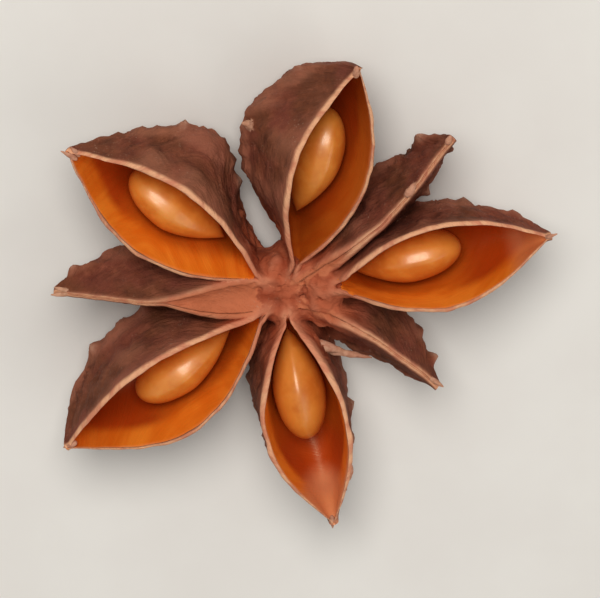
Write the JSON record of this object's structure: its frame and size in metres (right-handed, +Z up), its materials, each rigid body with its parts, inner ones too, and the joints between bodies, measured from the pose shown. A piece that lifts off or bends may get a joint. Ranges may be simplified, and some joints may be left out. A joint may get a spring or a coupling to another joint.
{
  "type": "star anise pod",
  "caption": "Whole dried star anise pod lying on its keels, boat-shaped carpels round a short hub, some split open on a glossy seed and some shut.",
  "frame": {"origin": "bottom centre of the bounding box, on the surface the pod lies on", "axes": "+Z up out of the open side of the pod, along the hub's axis; +X towards the long open carpel on the right, +Y towards the blunt open carpel at the top"},
  "size_m": [0.0334, 0.0328, 0.0091],
  "materials": {
    "husk": "dry, wrinkled, matt outside with a smooth orange lining inside the open carpels",
    "seed": "polished, hard, caramel orange"
  },
  "bodies": {
    "root": {"pod": "husk", "seed_1": "seed", "seed_2": "seed", "seed_3": "seed", "seed_4": "seed", "seed_5": "seed"}
  },
  "joints": []
}
